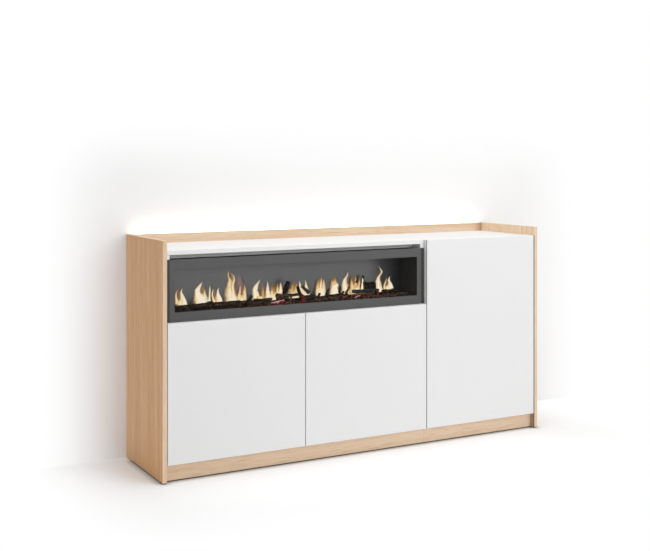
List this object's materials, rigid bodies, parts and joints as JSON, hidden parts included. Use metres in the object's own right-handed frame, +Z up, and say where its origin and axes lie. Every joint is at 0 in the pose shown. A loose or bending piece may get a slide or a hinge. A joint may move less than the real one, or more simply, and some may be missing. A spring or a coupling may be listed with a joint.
{
  "type": "fireplace sideboard",
  "caption": "Low sideboard with an electric log-effect fireplace under its top, plain push-open doors, light oak outer panels and plinth, white boards and a lit back rail.",
  "frame": {"origin": "middle of the footprint, on the floor", "axes": "+X to the right seen from the front, +Y towards the wall behind, +Z up; the doors and the fireplace face -Y"},
  "size_m": [1.6, 0.35, 0.8],
  "materials": {
    "oak_decor": "light oak grain, matt",
    "white_board": "white, matt",
    "white_front": "white, satin",
    "dark_steel": "dark grey powder coat",
    "grey_steel": "plain zinc-coated sheet",
    "bright_steel": "nickel-plated",
    "black_plastic": "moulded",
    "grey_plastic": "moulded",
    "clear_glass": "clear, polished",
    "smoked_screen": "smoked",
    "log_resin": "painted bark",
    "ember_resin": "translucent, lit from below",
    "circuit_board": "lacquered",
    "heater_ceramic": "unglazed",
    "lit_diffuser": "lit"
  },
  "bodies": {
    "cabinet": {"left_outer_panel": "oak_decor", "right_outer_panel": "oak_decor", "left_plinth": "oak_decor", "right_plinth": "oak_decor", "left_back_rail": "oak_decor", "right_back_rail": "oak_decor", "wide_left_side": "white_board", "wide_right_side": "white_board", "narrow_left_side": "white_board", "narrow_right_side": "white_board", "wide_bottom_board": "white_board", "narrow_bottom_board": "white_board", "fireplace_shelf": "white_board", "wide_top_board": "white_board", "narrow_top_board": "white_board", "centre_divider": "white_board", "left_shelf": "white_board", "middle_shelf": "white_board", "right_lower_shelf": "white_board", "right_upper_shelf": "white_board", "wide_back_cover": "white_board", "narrow_back_cover": "white_board", "left_door_lower_hinge_arm": "bright_steel", "left_door_upper_hinge_arm": "bright_steel", "middle_door_lower_hinge_arm": "bright_steel", "middle_door_upper_hinge_arm": "bright_steel", "right_door_lower_hinge_arm": "bright_steel", "right_door_upper_hinge_arm": "bright_steel", "left_latch_body": "grey_plastic", "middle_latch_body": "grey_plastic", "right_latch_body": "grey_plastic", "fireplace_frame": "dark_steel", "fireplace_case": "grey_steel", "front_glass": "clear_glass", "firebox_liner": "dark_steel", "flame_screen": "smoked_screen", "log_set": "log_resin", "ember_bed": "ember_resin", "light_board": "circuit_board", "rotor_bracket": "grey_steel", "rotor_motor": "grey_steel", "blower_housing": "grey_steel", "heating_element": "heater_ceramic", "power_inlet": "black_plastic", "rear_light_strip": "lit_diffuser"},
    "left_door": {"left_door": "white_front", "left_door_lower_hinge_cup": "bright_steel", "left_door_upper_hinge_cup": "bright_steel"},
    "middle_door": {"middle_door": "white_front", "middle_door_lower_hinge_cup": "bright_steel", "middle_door_upper_hinge_cup": "bright_steel"},
    "right_door": {"right_door": "white_front", "right_door_lower_hinge_cup": "bright_steel", "right_door_upper_hinge_cup": "bright_steel"},
    "left_plunger": {"left_latch_plunger": "grey_plastic"},
    "middle_plunger": {"middle_latch_plunger": "grey_plastic"},
    "right_plunger": {"right_latch_plunger": "grey_plastic"},
    "flame_rotor": {"flame_rotor": "bright_steel"},
    "blower_wheel": {"blower_wheel": "black_plastic"},
    "power_rocker": {"power_rocker": "black_plastic"}
  },
  "joints": [
    {"name": "left_door_swing", "type": "hinge", "parent": "cabinet", "child": "left_door", "pos_m": [-0.7815, -0.175, 0.2925], "axis": [0, 0, -1], "range_deg": [0, 110]},
    {"name": "middle_door_swing", "type": "hinge", "parent": "cabinet", "child": "middle_door", "pos_m": [0.25967, -0.175, 0.2925], "axis": [0, 0, 1], "range_deg": [0, 110]},
    {"name": "right_door_swing", "type": "hinge", "parent": "cabinet", "child": "right_door", "pos_m": [0.7815, -0.175, 0.4125], "axis": [0, 0, 1], "range_deg": [0, 110]},
    {"name": "left_plunger_slide", "type": "slide", "parent": "cabinet", "child": "left_plunger", "axis": [0, -1, 0], "range_m": [0, 0.014]},
    {"name": "middle_plunger_slide", "type": "slide", "parent": "cabinet", "child": "middle_plunger", "axis": [0, -1, 0], "range_m": [0, 0.014]},
    {"name": "right_plunger_slide", "type": "slide", "parent": "cabinet", "child": "right_plunger", "axis": [0, -1, 0], "range_m": [0, 0.014]},
    {"name": "flame_rotor_spin", "type": "hinge", "parent": "cabinet", "child": "flame_rotor", "pos_m": [-0.26162, -0.023, 0.5571], "axis": [1, 0, 0], "continuous": true},
    {"name": "blower_spin", "type": "hinge", "parent": "cabinet", "child": "blower_wheel", "pos_m": [-0.26162, -0.007, 0.7054], "axis": [1, 0, 0], "continuous": true},
    {"name": "power_rocker_tilt", "type": "hinge", "parent": "cabinet", "child": "power_rocker", "pos_m": [0.18127, 0.021, 0.6273], "axis": [1, 0, 0], "range_deg": [-24, 0]}
  ],
  "couplings": [
    {"joint": "left_plunger_slide", "follows": "left_door_swing", "m_per_rad": 0.00729},
    {"joint": "middle_plunger_slide", "follows": "middle_door_swing", "m_per_rad": 0.00729},
    {"joint": "right_plunger_slide", "follows": "right_door_swing", "m_per_rad": 0.00729}
  ]
}
